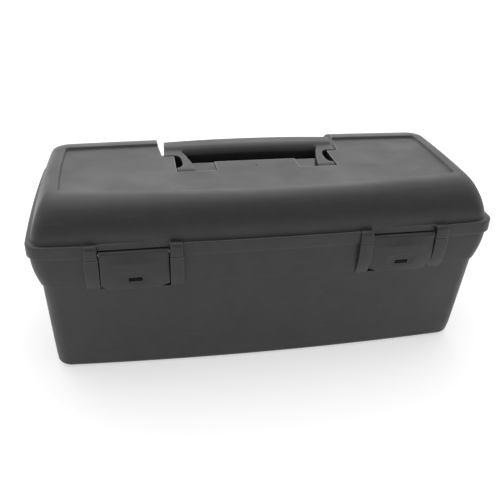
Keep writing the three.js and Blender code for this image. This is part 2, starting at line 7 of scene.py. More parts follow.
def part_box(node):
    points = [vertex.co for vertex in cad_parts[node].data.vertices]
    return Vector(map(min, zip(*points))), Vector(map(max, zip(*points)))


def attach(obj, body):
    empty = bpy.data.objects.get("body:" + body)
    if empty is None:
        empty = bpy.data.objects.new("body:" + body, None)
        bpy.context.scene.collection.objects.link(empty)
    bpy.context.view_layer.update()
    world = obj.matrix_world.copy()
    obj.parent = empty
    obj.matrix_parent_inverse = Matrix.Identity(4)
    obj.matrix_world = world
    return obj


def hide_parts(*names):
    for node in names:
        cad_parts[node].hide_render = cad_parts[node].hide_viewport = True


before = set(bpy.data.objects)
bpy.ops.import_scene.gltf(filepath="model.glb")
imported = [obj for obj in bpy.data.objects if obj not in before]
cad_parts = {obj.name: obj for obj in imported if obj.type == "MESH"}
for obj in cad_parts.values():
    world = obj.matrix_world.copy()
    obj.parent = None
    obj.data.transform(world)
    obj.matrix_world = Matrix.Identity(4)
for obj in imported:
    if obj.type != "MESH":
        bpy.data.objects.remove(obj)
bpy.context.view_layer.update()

# A moulded polypropylene toolbox: bin, domed lid with a folding handle, two latches and a tray.
# Sizes are in millimetres and become metres where a mesh is made.

mm = 0.001
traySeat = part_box("tray")
rimCentreY = (traySeat[0].y + traySeat[1].y) / 2 / mm  # middle of the rim; the hinges stand behind it

caseSize = {
    "length": 406, "depth": 190, "height": 168.3,
    "sideBow": 6.4, "endBow": 2.4, "corner": 12.5,
    "skirtTop": 136.2, "skirtBottom": 124.9, "shoulder": 96.2,
    "wall": 2.4, "gap": 0.3, "swingGap": 0.7,
    "cornerSteps": 12, "sideSteps": 48, "endSteps": 20,
}
wall = caseSize["wall"]
gap = caseSize["gap"]
swingGap = caseSize["swingGap"]
skirtTop = caseSize["skirtTop"]
skirtBottom = caseSize["skirtBottom"]
shoulder = caseSize["shoulder"]
caseTop = caseSize["height"]
bothSides = (-1, 1)
bevelFrom = 40  # degrees; an edge flatter than this isn't bevelled
smoothUpTo = 32  # degrees; an edge flatter than this is shaded smooth


def arcPoints(centreU, centreV, radius, fromDegrees, toDegrees, steps=12):
    points = []
    for step in range(steps + 1):
        angle = math.radians(fromDegrees + (toDegrees - fromDegrees) * step / steps)
        points.append((centreU + radius * math.cos(angle), centreV + radius * math.sin(angle)))
    return points


def circlePoints(centreU, centreV, radius, count=24):
    return arcPoints(centreU, centreV, radius, 0, 360 - 360 / count, count - 1)


def curve(start, control, end, steps=8, first=1):
    # bends from start to end, pulled towards control; first is 0 to keep the start point as well
    a, b, c = Vector(start), Vector(control), Vector(end)
    shares = [step / steps for step in range(first, steps + 1)]
    return [tuple(a * (1 - s) ** 2 + b * 2 * s * (1 - s) + c * s ** 2) for s in shares]


def softOutline(points, radius, steps=5):
    # each corner of the outline becomes a short curve that starts and ends a radius away from it
    soft = []
    for index, corner in enumerate(points):
        here = Vector(corner)
        before = Vector(points[index - 1]) - here
        after = Vector(points[(index + 1) % len(points)]) - here
        reach = min(radius, before.length * 0.45, after.length * 0.45)
        start = here + before.normalized() * reach
        end = here + after.normalized() * reach
        soft += curve(start, here, end, steps, first=0)
    return soft


def roundedPlan(halfLength, front, rear, corner):
    points = []
    corners = [(1, -front), (1, rear), (-1, rear), (-1, -front)]
    for index, (side, edge) in enumerate(corners):
        centreX = side * (halfLength - corner)
        centreY = edge - math.copysign(corner, edge)
        start = (index - 1) * 90
        points += arcPoints(centreX, centreY, corner, start, start + 90, caseSize["cornerSteps"])
        nextSide, nextEdge = corners[(index + 1) % 4]
        lastX, lastY = points[-1]
        if index % 2 == 0:
            nextX, nextY = lastX, nextEdge - math.copysign(corner, nextEdge)
            steps = caseSize["endSteps"]
        else:
            nextX, nextY = nextSide * (halfLength - corner), lastY
            steps = caseSize["sideSteps"]
        for step in range(1, steps):
            share = step / steps
            points.append((lastX + (nextX - lastX) * share, lastY + (nextY - lastY) * share))
    return points


def caseRing(z, lengthInset, frontInset, rearInset=None, corner=None, bows=None):
    # one level of the case: a rounded rectangle whose sides bow outwards
    frontBow, rearBow, endsBow = bows or (caseSize["sideBow"], caseSize["sideBow"], caseSize["endBow"])
    halfLength = caseSize["length"] / 2 - lengthInset
    front = caseSize["depth"] / 2 - frontInset
    rear = caseSize["depth"] / 2 - (frontInset if rearInset is None else rearInset)
    ring = []
    for x, y in roundedPlan(halfLength, front, rear, corner or caseSize["corner"]):
        depth, bow = (front, frontBow) if y < 0 else (rear, rearBow)
        bowedX = x * (1 - (endsBow / halfLength) * (y / depth) ** 2)
        bowedY = y * (1 - (bow / depth) * (x / halfLength) ** 2)
        ring.append((bowedX, bowedY, z))
    return ring


def skirtFront(x):
    # where the front of the lid's skirt stands at a place along the case
    return -caseSize["depth"] / 2 + caseSize["sideBow"] * (x / (caseSize["length"] / 2)) ** 2


aheadOfCase = skirtFront(0) - 8  # clear of all that stands out of the front


def meshObject(name, points, faces):
    # millimetres from the middle of the rim become metres, and every face is turned to look outwards
    mesh = bpy.data.meshes.new(name)
    placed = [(x * mm, (y + rimCentreY) * mm, z * mm) for x, y, z in points]
    mesh.from_pydata(placed, [], faces)
    outward = bmesh.new()
    outward.from_mesh(mesh)
    bmesh.ops.recalc_face_normals(outward, faces=outward.faces)
    outward.to_mesh(mesh)
    outward.free()
    obj = bpy.data.objects.new(name, mesh)
    bpy.context.scene.collection.objects.link(obj)
    return obj


def loft(name, rings):
    # skins a row of matching rings and closes both ends
    count = len(rings[0])
    faces = [tuple(reversed(range(count)))]
    for row in range(len(rings) - 1):
        low, high = row * count, (row + 1) * count
        for step in range(count):
            beside = (step + 1) % count
            faces.append((low + step, low + beside, high + beside, high + step))
    last = (len(rings) - 1) * count
    faces.append(tuple(range(last, last + count)))
    return meshObject(name, [point for ring in rings for point in ring], faces)


def prismUp(name, outline, low, high):
    return loft(name, [[(x, y, z) for x, y in outline] for z in (low, high)])


def prismAcross(name, outline, fromX, toX):
    # the outline is in Y and Z
    return loft(name, [[(x, y, z) for y, z in outline] for x in (fromX, toX)])


def block(name, x0, x1, y0, y1, z0, z1):
    return prismUp(name, [(x0, y0), (x1, y0), (x1, y1), (x0, y1)], z0, z1)


def rodAcross(name, radius, fromX, toX, y, z):
    return prismAcross(name, circlePoints(y, z, radius), fromX, toX)


def bakeModifiers(obj):
    # puts the result of the modifiers in place of the mesh
    graph = bpy.context.evaluated_depsgraph_get()
    made = bpy.data.meshes.new_from_object(obj.evaluated_get(graph))
    spent = obj.data
    obj.modifiers.clear()
    obj.data = made
    bpy.data.meshes.remove(spent)
    return obj


def combine(base, tool, operation):
    change = base.modifiers.new(operation.lower(), "BOOLEAN")
    change.object = tool
    change.operation = operation
    change.solver = "MANIFOLD"
    bakeModifiers(base)
    bpy.data.objects.remove(tool)
    return base


def join(base, *tools):
    for tool in tools:
        combine(base, tool, "UNION")
    return base


def cut(base, *tools):
    for tool in tools:
        combine(base, tool, "DIFFERENCE")
    return base


def soften(obj, width, segments=3):
    edge = obj.modifiers.new("soft edge", "BEVEL")
    edge.width = width * mm
    edge.segments = segments
    edge.limit_method = "ANGLE"
    edge.angle_limit = math.radians(bevelFrom)
    return bakeModifiers(obj)


def melt(obj, grain, passes):
    # remakes a small moulded piece in an even mesh, then smooths it so that every edge has a radius
    remesh = obj.modifiers.new("even mesh", "REMESH")
    remesh.mode = "VOXEL"
    remesh.voxel_size = grain * mm
    smooth = obj.modifiers.new("mould radius", "SMOOTH")
    smooth.factor = 0.5
    smooth.iterations = passes
    return bakeModifiers(obj)


def finishPiece(obj, material, body, slot, *nodes):
    obj.data.materials.clear()
    obj.data.materials.append(material)
    obj.data.shade_smooth()
    obj.data.set_sharp_from_angle(angle=math.radians(smoothUpTo))
    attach(obj, body)
    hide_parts(*nodes)
    return obj


def toLinear(hexColour):
    channels = [int(hexColour[place:place + 2], 16) / 255 for place in (1, 3, 5)]
    curved = [c / 12.92 if c <= 0.04045 else ((c + 0.055) / 1.055) ** 2.4 for c in channels]
    return (*curved, 1)


def addNode(tree, kind, settings=None, links=None):
    # a setting is a property of the node or one of its sockets, and a socket may be given by its number
    node = tree.nodes.new("ShaderNode" + kind)
    for name, value in (settings or {}).items():
        if isinstance(name, str) and hasattr(node, name):
            setattr(node, name, value)
        else:
            node.inputs[name].default_value = value
    for name, socket in (links or {}).items():
        tree.links.new(socket, node.inputs[name])
    return node


def newMaterial(name):
    material = bpy.data.materials.new(name)
    material.use_nodes = True
    material.node_tree.nodes.clear()
    return material, material.node_tree


def noiseField(tree, place, size, detail=2, stretch=(1, 1, 1), turn=(0, 0, 0)):
    # size is the width of one patch in millimetres; stretch under 1 draws the patches out along that axis
    laid = addNode(tree, "Mapping", {"Rotation": turn, "Scale": stretch}, {"Vector": place})
    field = addNode(tree, "TexNoise", {"Scale": 1 / (size * mm), "Detail": detail},
                    {"Vector": laid.outputs["Vector"]})
    return field.outputs["Fac"]


def spread(tree, value, low, high, fromLow=0.3, fromHigh=0.7):
    # turns the range from fromLow to fromHigh into the range from low to high
    settings = {"From Min": fromLow, "From Max": fromHigh, "To Min": low, "To Max": high}
    return addNode(tree, "MapRange", settings, {"Value": value}).outputs["Result"]


plasticLook = {
    # scuffed is the pale colour of the scuffs, and also of the outer edges, where it is partly wear and
    # partly a painted highlight
    "dark": "#1b1c1b", "light": "#212221", "scuffed": "#7a7b7a",
    "roughness": 0.42, "roughnessSpread": 0.05,
    "edgeRadius": 0.55,  # mm, the radius that the mould leaves on every edge
    "grainSize": 1.1, "grainHeight": 0.010,  # mm; the real grain is finer, this is what still shows
    "waveSize": 30, "waveHeight": 0.03,  # slow sink marks left as the wall cools
    "flowSize": 9,
    "scuffSize": 2.2, "scuffShare": 0.06, "scuffFrom": 0.62, "scuffTo": 0.75, "scuffRoughness": 0.3,
    "rubAndHighlightReach": 1.4,  # mm in from an outer edge; there the edge is painted paler, as rubbed wear and as a painted highlight
    "rubAndHighlightShare": 0.9, "rubAndHighlightFrom": 0.5, "rubAndHighlightTo": 0.93,
    "sideRubAndHighlight": 0.22, "upFrom": 0.1, "upTo": 0.6,  # an upright edge gets less of the rub and painted highlight than one that faces up
}


def mouldedPlastic(name, look):
    # carbon-black polypropylene out of a fine spark-eroded mould: near black, satin, softly mottled
    material, tree = newMaterial(name)
    place = addNode(tree, "TexCoord").outputs["Object"]
    grain = noiseField(tree, place, look["grainSize"], 3)
    waves = noiseField(tree, place, look["waveSize"], 2)
    flow = noiseField(tree, place, look["flowSize"], 4, stretch=(1, 1, 0.6))
    scuffs = noiseField(tree, place, look["scuffSize"], 5, stretch=(0.06, 1, 1), turn=(0.2, 0.1, 0.5))
    scuffMask = spread(tree, scuffs, 0, look["scuffShare"], look["scuffFrom"], look["scuffTo"])
    # looking into the plastic from its surface finds the outer edges, which are painted paler: partly rubbed
    # wear, partly a painted highlight
    within = addNode(tree, "AmbientOcclusion",
                     {"inside": True, "samples": 6, "Distance": look["rubAndHighlightReach"] * mm})
    edgeRubAndHighlight = spread(tree, within.outputs["AO"], look["rubAndHighlightShare"], 0, look["rubAndHighlightFrom"], look["rubAndHighlightTo"])
    # hands and dust reach the upper edges most
    upward = addNode(tree, "SeparateXYZ", {}, {"Vector": addNode(tree, "TexCoord").outputs["Normal"]})
    # the upper edges get the most of it: some rubbed wear, and a painted highlight from the light above
    upperRubAndHighlight = spread(tree, upward.outputs["Z"], look["sideRubAndHighlight"], 1, look["upFrom"], look["upTo"])
    wearAndHighlight = addNode(tree, "Math", {"operation": "MULTIPLY_ADD"}, {0: edgeRubAndHighlight, 1: upperRubAndHighlight, 2: scuffMask})
    tone = addNode(tree, "ValToRGB", {}, {"Fac": flow}).outputs["Color"]
    ramp = tone.node.color_ramp
    ramp.elements[0].position = 0.3
    ramp.elements[0].color = toLinear(look["dark"])
    ramp.elements[1].position = 0.7
    ramp.elements[1].color = toLinear(look["light"])
    # the pale colour goes on the scuffs and on the outer edges; on the edges it is partly wear and partly a
    # painted highlight
    paint = addNode(tree, "MixRGB", {"Color2": toLinear(look["scuffed"])},
                    {"Fac": wearAndHighlight.outputs["Value"], "Color1": tone})
    half = look["roughnessSpread"]
    roughness = spread(tree, waves, look["roughness"] - half, look["roughness"] + half)
    scuffed = addNode(tree, "Math", {"operation": "MULTIPLY_ADD", 1: look["scuffRoughness"]},
                      {0: scuffMask, 2: roughness})
    edges = addNode(tree, "Bevel", {"samples": 4, "Radius": look["edgeRadius"] * mm})
    slow = addNode(tree, "Bump", {"Distance": look["waveHeight"] * mm, "Strength": 1},
                   {"Height": waves, "Normal": edges.outputs["Normal"]})
    fine = addNode(tree, "Bump", {"Distance": look["grainHeight"] * mm, "Strength": 1},
                   {"Height": grain, "Normal": slow.outputs["Normal"]})
    surface = addNode(tree, "BsdfPrincipled", {"IOR": 1.49},
                      {"Base Color": paint.outputs["Color"], "Roughness": scuffed.outputs["Value"],
                       "Normal": fine.outputs["Normal"]})
    addNode(tree, "OutputMaterial", {}, {"Surface": surface.outputs["BSDF"]})
    return material


steelLook = {
    "dark": "#8d8f91", "light": "#b9bbbd", "cloudSize": 4,
    "roughness": 0.3, "smoother": 0.06, "rougher": 0.08,
    "lineSize": 0.35, "lineHeight": 0.004,  # mm; the drawing lines run along the wire
}


def drawnSteelWire(name, look):
    # mild steel wire pulled through a die: bright, with fine lines along its length
    material, tree = newMaterial(name)
    place = addNode(tree, "TexCoord").outputs["Object"]
    lines = noiseField(tree, place, look["lineSize"], 3, stretch=(0.03, 1, 1))
    cloud = noiseField(tree, place, look["cloudSize"], 2)
    tone = addNode(tree, "ValToRGB", {}, {"Fac": cloud}).outputs["Color"]
    tone.node.color_ramp.elements[0].color = toLinear(look["dark"])
    tone.node.color_ramp.elements[1].color = toLinear(look["light"])
    roughness = spread(tree, lines, look["roughness"] - look["smoother"], look["roughness"] + look["rougher"])
    bump = addNode(tree, "Bump", {"Distance": look["lineHeight"] * mm, "Strength": 1}, {"Height": lines})
    surface = addNode(tree, "BsdfPrincipled", {"Metallic": 1},
                      {"Base Color": tone, "Roughness": roughness, "Normal": bump.outputs["Normal"]})
    addNode(tree, "OutputMaterial", {}, {"Surface": surface.outputs["BSDF"]})
    return material


casePlastic = mouldedPlastic("case moulded polypropylene", plasticLook)
trayPlastic = mouldedPlastic("tray moulded polypropylene", {
    **plasticLook, "dark": "#1b1c1c", "light": "#222323",
    "roughness": 0.46, "edgeRadius": 0.4, "flowSize": 5,
})
pinSteel = drawnSteelWire("drawn steel wire", steelLook)
print("stage: materials ready")


binSize = {
    "bellyTopInset": 1.8, "bellyCurve": 2, "shoulderStep": 1.2,
    "shoulderRun": 0.6, "shoulderLength": 0.02, "shoulderDepth": 0.09,  # the turn under the belly
    "wallTopLengthInset": 8.3, "wallTopDepthInset": 4.9,
    "footLengthInset": 10.2, "footDepthInset": 18.7, "footCorner": 11, "footRadius": 5.7,
    "collarInset": 4.1, "collarRise": 5,
    "ribWidth": 11.5, "ribProud": 3, "ribDrop": 33.5, "ribSoftness": 2, "ribSplit": 0.35,
    "ribSpare": 4,  # a rib is made this much too long where it will be cut off
    "shelfTop": 84.15, "shelfReach": 9, "shelfThickness": 3, "shelfHalfLength": 48, "shelfSoftness": 0.6,
    "gussetDrop": 9,
}
latchSize = {
    "centre": 115.4, "bay": 57.7, "drop": 36, "topBelowLip": 6.1, "thickness": 3, "barrel": 3,
    "crown": 2, "curl": 2.6, "cornerCut": 3, "pinRadius": 1.1,
    "cutFrom": 0.7, "cutRun": 0.3,  # where a lower corner starts to be cut, and over what share of the half
    "slotWidth": 11.5, "slotHeight": 3.5, "slotRise": 9.7, "slotRadius": 1,
    "dishHalfWidth": 13, "dishHalfHeight": 8, "dishDepth": 0.9, "dishLift": 1,
    "slices": 40,
    "bayBackInset": 8.2, "bayBackDrop": 1.3, "catchReach": 1.9, "catchHeight": 5, "catchSoftness": 0.4,
    "sideGap": 0.6, "swell": 8, "hookDrop": 25, "hookThickness": 2, "pinCover": 1.2,
    "meltGrain": 0.45, "meltPasses": 3,
}
hingeSize = {
    "centre": 115, "width": 44, "lidKnuckle": 22, "radius": 3.8, "pinRadius": 1.6,
    "standOff": 4.6, "drop": 2.3, "boreReach": 40,
    "binRoot": 4, "lidRoot": 3.5,  # length of a knuckle's root along the wall, in knuckle radii
    "binRootDepth": 0.9,  # how far the root goes into the wall, as a share of the wall
    "lidRootLift": 0.6,
}
latchTop = skirtTop - latchSize["topBelowLip"]
latchAxisZ = latchTop - latchSize["barrel"]
latchAxisY = skirtFront(latchSize["centre"]) + latchSize["barrel"]
ribBack = latchAxisY + latchSize["pinRadius"] + gap + latchSize["pinCover"]
bayBack = skirtFront(latchSize["centre"]) + latchSize["bayBackInset"]
bayFloor = latchTop - latchSize["drop"] - 2 * swingGap
hookZ = latchTop - latchSize["hookDrop"]
catchZ = hookZ + swingGap + gap
hingeY = -skirtFront(hingeSize["centre"]) + hingeSize["standOff"]
hingeZ = skirtBottom - hingeSize["drop"]


def binInset(z, wallTopInset, footInset):
    # straight drafted wall up to the shoulder, then the belly swells out towards the skirt
    if z < shoulder:
        return wallTopInset + (footInset - wallTopInset) * (1 - z / shoulder)
    bellyFoot = wallTopInset - binSize["shoulderStep"]
    drop = max(0, skirtBottom - z) / (skirtBottom - shoulder)
    return binSize["bellyTopInset"] + (bellyFoot - binSize["bellyTopInset"]) * drop ** binSize["bellyCurve"]


def lengthInsetAt(z):
    return binInset(z, binSize["wallTopLengthInset"], binSize["footLengthInset"])


def depthInsetAt(z):
    return binInset(z, binSize["wallTopDepthInset"], binSize["footDepthInset"])


def binRings(thickness, floor, top):
    # from the middle of the floor up to the collar that the lid closes over
    def level(z, lengthInset, depthInset):
        corner = binSize["footCorner"] + (caseSize["corner"] - binSize["footCorner"]) * z / skirtBottom
        return caseRing(z, lengthInset + thickness, depthInset + thickness, corner=corner - thickness)

    radius = binSize["footRadius"]
    rings = []
    for u, v in arcPoints(radius, radius, radius, 270, 180, 8):
        rings.append(level(floor + v, binSize["footLengthInset"] + u, binSize["footDepthInset"] + u))
    for step in range(1, 12):
        z = floor + radius + (shoulder - 1 - floor - radius) * step / 12
        rings.append(level(z, lengthInsetAt(z), depthInsetAt(z)))
    underShoulder = shoulder - binSize["shoulderStep"] / 2
    rings.append(level(underShoulder - binSize["shoulderRun"],
                       binSize["wallTopLengthInset"] + binSize["shoulderLength"],
                       binSize["wallTopDepthInset"] + binSize["shoulderDepth"]))
    rings.append(level(underShoulder, binSize["wallTopLengthInset"], binSize["wallTopDepthInset"]))
    ledge = skirtBottom - swingGap - thickness
    for step in range(17):
        z = shoulder + (ledge - shoulder) * step / 16
        rings.append(level(z, lengthInsetAt(z), depthInsetAt(z)))
    rings.append(level(ledge, binSize["collarInset"], binSize["collarInset"]))
    rings.append(level(top, binSize["collarInset"], binSize["collarInset"]))
    return rings


ribCentres = [side * latchSize["centre"] + end * (latchSize["bay"] + binSize["ribWidth"]) / 2
              for side in bothSides for end in bothSides]


def ribBar(name, outline, x, low, high):
    # softened as one long bar, then cut off square where the lid and the bin part
    half = binSize["ribWidth"] / 2
    bar = soften(prismAcross(name, outline, x - half, x + half), binSize["ribSoftness"])
    room = block("rib end", x - half - 1, x + half + 1, aheadOfCase, skirtFront(x) + 20, low, high)
    return combine(bar, room, "INTERSECT")


def binRib(x):
    face = skirtFront(x) - binSize["ribProud"]
    top = skirtBottom - binSize["ribSplit"]
    foot = skirtBottom - binSize["ribDrop"]
    footFace = skirtFront(x) + depthInsetAt(foot)
    front = curve((face, top), (face, foot + binSize["ribDrop"] / 3), (footFace, foot), steps=14, first=0)
    inside, past = skirtFront(x) + binSize["bellyTopInset"] + wall / 2, top + binSize["ribSpare"]
    back = [(footFace + wall / 2, foot), (inside, top), (inside, past), (face, past)]
    return ribBar("bin rib", back + front, x, foot - 1, top)


def latchBay(side):
    centre, half = side * latchSize["centre"], latchSize["bay"] / 2
    return block("bay", centre - half, centre + half, aheadOfCase, bayBack, bayFloor, caseTop)


def bayWalls(side, outside):
    centre, half = side * latchSize["centre"], latchSize["bay"] / 2
    front, back, low = skirtFront(0), bayBack + wall, bayFloor - wall
    walls = block("bay floor", centre - half, centre + half, front, back, low, bayFloor)
    for end in bothSides:
        middle = centre + end * (half + wall / 2)
        top = skirtBottom + binSize["collarRise"]
        walls = join(walls, block("bay cheek", middle - wall / 2, middle + wall / 2, front, back, low, top))
    walls = combine(walls, outside, "INTERSECT")
    reach = latchSize["catchReach"]
    catch = [(bayBack + wall / 2, catchZ), (bayBack - reach, catchZ),
             (bayBack - reach, catchZ + reach), (bayBack + wall / 2, catchZ + latchSize["catchHeight"])]
    catchBar = prismAcross("catch", catch, centre - half / 2, centre + half / 2)
    catchBar = soften(catchBar, latchSize["catchSoftness"])
    backTop = skirtTop - wall - latchSize["bayBackDrop"]
    backWall = block("bay back", centre - half - wall, centre + half + wall, bayBack, back, low, backTop)
    return join(walls, backWall, catchBar)


def binKnuckles(side):
    root = -skirtFront(hingeSize["centre"]) - binSize["bellyTopInset"] - hingeSize["binRootDepth"] * wall
    radius = hingeSize["radius"]
    outline = arcPoints(hingeY, hingeZ, radius, 180, -60, 20)
    outline += [(root, hingeZ - radius * hingeSize["binRoot"]), (root, hingeZ)]
    inner, outer = hingeSize["lidKnuckle"] / 2 + gap, hingeSize["width"] / 2
    centre = side * hingeSize["centre"]
    return [prismAcross("bin knuckle", outline, *sorted((centre + end * inner, centre + end * outer)))
            for end in bothSides]


def hingeBore(side):
    centre, reach = side * hingeSize["centre"], hingeSize["boreReach"]
    return rodAcross("bore", hingeSize["pinRadius"] + gap, centre - reach, centre + reach, hingeY, hingeZ)


def trayShelf(side):
    wallFace = caseSize["length"] / 2 - lengthInsetAt(binSize["shelfTop"]) - wall
    inner, outer = sorted((side * (wallFace - binSize["shelfReach"]), side * (wallFace + wall / 2)))
    half, top = binSize["shelfHalfLength"], binSize["shelfTop"]
    low, high = top - binSize["gussetDrop"], top - 1
    shelf = block("shelf", inner, outer, -half, half, top - binSize["shelfThickness"], top)
    parts = [soften(shelf, binSize["shelfSoftness"])]
    for place in (-1, 0, 1):
        left, right = place * (half - wall) - wall / 2, place * (half - wall) + wall / 2
        gusset = [(left, low), (right, low), (right, high), (left, high)]
        parts.append(prismAcross("gusset", gusset, inner, outer))
    return parts


def ribRoom(side):
    # the space that the lid's ribs take up above the bin's own ribs
    centre = side * latchSize["centre"]
    half = latchSize["bay"] / 2 + binSize["ribWidth"] + swingGap
    return block("rib room", centre - half, centre + half, aheadOfCase, ribBack + swingGap,
                 skirtBottom - swingGap, caseTop)


def makeBin():
    collarTop = skirtBottom + binSize["collarRise"]
    outsideRings = binRings(0, 0, collarTop)
    shell = loft("bin_body", outsideRings + list(reversed(binRings(wall, wall, collarTop))))
    join(shell, *[binRib(x) for x in ribCentres])
    cut(shell, *[latchBay(side) for side in bothSides])
    for side in bothSides:
        join(shell, bayWalls(side, loft("outside", outsideRings)))
        join(shell, *binKnuckles(side), *trayShelf(side))
    cut(shell, *[ribRoom(side) for side in bothSides], *[hingeBore(side) for side in bothSides])
    return finishPiece(shell, casePlastic, "bin", "case_plastic", "bin")


lidSize = {
    "skirtWall": 2.6, "skirtFootRadius": 0.7, "lipRadius": 1.3, "domeFootInset": 3.8, "domeFootFillet": 0.5,
    "endRun": 17.3, "endLean": 0.62, "frontRun": 21.6, "rearRun": 36.8,
    "topFrontBow": 13.5, "topRearBow": 3.3, "topEndBow": 1.4, "topCorner": 13,
    "panelSink": 2.2, "panelEndBorder": 6.7, "panelFrontBorder": 4.9, "panelRearBorder": 3.4,
    "panelCorner": 3.5, "panelEdge": 0.9, "panelSlope": 0.5,
    "ribCapExtra": 1.2,  # the cap of a rib is rounder than the rib stands proud by this much
    "gateX": -0.9, "gateFromWell": 8.2, "gateRadius": 1.1, "gateDepth": 0.5,
    "domeSteps": 26,
}
wellSize = {
    "front": -17.6, "step": 20.5, "halfWidth": 74, "rearHalfWidth": 85, "flare": 3, "depth": 27.7,
    "tabHalfWidth": 38, "tabReach": 21, "tabRadius": 1, "cornerRadius": 1.6,
}
topRearEdge = caseSize["depth"] / 2 - lidSize["domeFootInset"] - lidSize["rearRun"]
wellFloor = caseTop - wellSize["depth"]
panelTop = caseTop - lidSize["panelSink"]
eaveFront = skirtFront(latchSize["centre"]) + lidSize["domeFootInset"] - gap
topBows = (lidSize["topFrontBow"], lidSize["topRearBow"], lidSize["topEndBow"])


def domeRing(thickness, top, angle):
    # the dome rises as a quarter turn, and its bows and corner change on the way up
    run = 1 - math.cos(angle)
    foot = lidSize["domeFootInset"] + thickness
    sideBow, endBow = caseSize["sideBow"], caseSize["endBow"]
    bows = (sideBow + (lidSize["topFrontBow"] - sideBow) * run,
            sideBow + (lidSize["topRearBow"] - sideBow) * run,
            endBow + (lidSize["topEndBow"] - endBow) * run)
    corner = caseSize["corner"] - thickness + (lidSize["topCorner"] - caseSize["corner"]) * run
    return caseRing(skirtTop + (top - skirtTop) * math.sin(angle),
                    foot + lidSize["endRun"] * run ** lidSize["endLean"],
                    foot + lidSize["frontRun"] * run,
                    rearInset=foot + lidSize["rearRun"] * run, corner=corner, bows=bows)


def domeRings(thickness, top, steps, first=0):
    return [domeRing(thickness, top, math.pi / 2 * step / steps) for step in range(first, steps + 1)]


def panelRing(z, inwards):
    foot = lidSize["domeFootInset"]
    return caseRing(z, foot + lidSize["endRun"] + lidSize["panelEndBorder"] + inwards,
                    foot + lidSize["frontRun"] + lidSize["panelFrontBorder"] + inwards,
                    rearInset=foot + lidSize["rearRun"] + lidSize["panelRearBorder"] + inwards,
                    corner=lidSize["panelCorner"] - inwards, bows=topBows)


def lidOutsideRings():
    # from the foot of the skirt to the floor of the sunk panel
    low, lip = lidSize["skirtFootRadius"], lidSize["lipRadius"]
    rings = [caseRing(skirtBottom + v, u, u) for u, v in arcPoints(low, low, low, 270, 180, 4)]
    rings += [caseRing(skirtTop - lip + v, lip - u, lip - u) for u, v in arcPoints(0, 0, lip, 0, 90, 6)]
    fillet, foot = lidSize["domeFootFillet"], lidSize["domeFootInset"]
    for u, v in arcPoints(foot - fillet, fillet, fillet, 270, 360, 5)[:-1]:
        rings.append(caseRing(skirtTop + v, u, u))
    rings += domeRings(0, caseTop, lidSize["domeSteps"], first=2)
    edge, slope = lidSize["panelEdge"], lidSize["panelSlope"]
    rings += [panelRing(caseTop - edge + v, -edge + u) for u, v in arcPoints(0, 0, edge, 90, 0, 4)]
    rings += [panelRing(panelTop + edge + v, slope + edge + u) for u, v in arcPoints(0, 0, edge, 180, 270, 4)]
    return rings


def lidInsideRings():
    inset = lidSize["skirtWall"]
    skirt = [caseRing(z, inset, inset) for z in (skirtBottom, skirtTop - wall)]
    return skirt + domeRings(wall, panelTop - wall, 12)


def wellPlan(grow):
    # the handle's well, narrow round its arms, wide round its grip and open to the rear
    front, narrow = wellSize["front"] - grow, wellSize["halfWidth"] + grow
    wide, step = wellSize["rearHalfWidth"] + grow, wellSize["step"] - grow
    out, past = wide + wellSize["flare"], caseSize["depth"]
    outline = [(-narrow, front), (narrow, front), (narrow, step), (wide, step), (out, topRearEdge),
               (out, past), (-out, past), (-out, topRearEdge), (-wide, step), (-narrow, step)]
    return softOutline(outline, wellSize["cornerRadius"])


def lidRib(x):
    face = skirtFront(x) - binSize["ribProud"]
    top, past = skirtTop + lidSize["lipRadius"] / 2, skirtBottom - binSize["ribSpare"]
    cap = binSize["ribProud"] + lidSize["ribCapExtra"]
    outline = [(ribBack, past), (ribBack, top)] + arcPoints(face + cap, top - cap, cap, 90, 180, 10)
    return ribBar("lid rib", outline + [(face, past)], x, skirtBottom, top + 1)


def lidKnuckle(side):
    root = -skirtFront(hingeSize["centre"]) - lidSize["skirtWall"] / 2
    radius, low = hingeSize["radius"], skirtBottom + hingeSize["lidRootLift"]
    outline = [(root, hingeZ + radius * hingeSize["lidRoot"])]
    outline += arcPoints(hingeY, hingeZ, radius, 50, -180, 20) + [(hingeY - radius, low), (root, low)]
    centre, half = side * hingeSize["centre"], hingeSize["lidKnuckle"] / 2
    return prismAcross("lid knuckle", outline, centre - half, centre + half)


def latchNotches(side):
    centre, half = side * latchSize["centre"], latchSize["bay"] / 2
    left, right, low = centre - half, centre + half, skirtBottom - 5
    return [block("notch", left, right, aheadOfCase, bayBack - gap, low, latchTop + swingGap),
            block("lip notch", left, right, aheadOfCase, eaveFront, low, skirtTop + 1)]


def latchEave(side):
    # closes the lid under the foot of the dome, over the rear of a latch
    centre, half = side * latchSize["centre"], latchSize["bay"] / 2 + wall / 2
    return block("eave", centre - half, centre + half, eaveFront, ribBack, latchTop + swingGap, skirtTop)


def latchBore(side, reach):
    centre = side * latchSize["centre"]
    return rodAcross("bore", latchSize["pinRadius"] + gap, centre - reach, centre + reach,
                     latchAxisY, latchAxisZ)


handleSize = {
    "endGap": 3, "gripDepth": 24, "rearMargin": 0.5, "gripHeight": 16, "gripRise": 2.6, "gripCrown": 1.2,
    "gripBow": 2, "frontRound": 9, "edgeRound": 3, "endBlock": 16, "gripSlices": 24,
    "armWidth": 10.5, "armWaist": 6.5, "armBend": 11, "armRadius": 6.5, "armSink": 1.4, "eyeSink": 0.8,
    "pinRadius": 2.3, "meltGrain": 0.7, "meltPasses": 5,
}
armTop = caseTop - handleSize["armSink"]
pivotY = wellSize["front"] + swingGap + handleSize["armRadius"]
pivotZ = armTop - handleSize["eyeSink"] - handleSize["armRadius"]
gripRear = topRearEdge - handleSize["rearMargin"]
gripHalf = wellSize["rearHalfWidth"] - handleSize["endGap"]
gripBottom = armTop + handleSize["gripRise"] - handleSize["gripHeight"]
blockRear = gripRear - handleSize["gripBow"] - handleSize["edgeRound"]


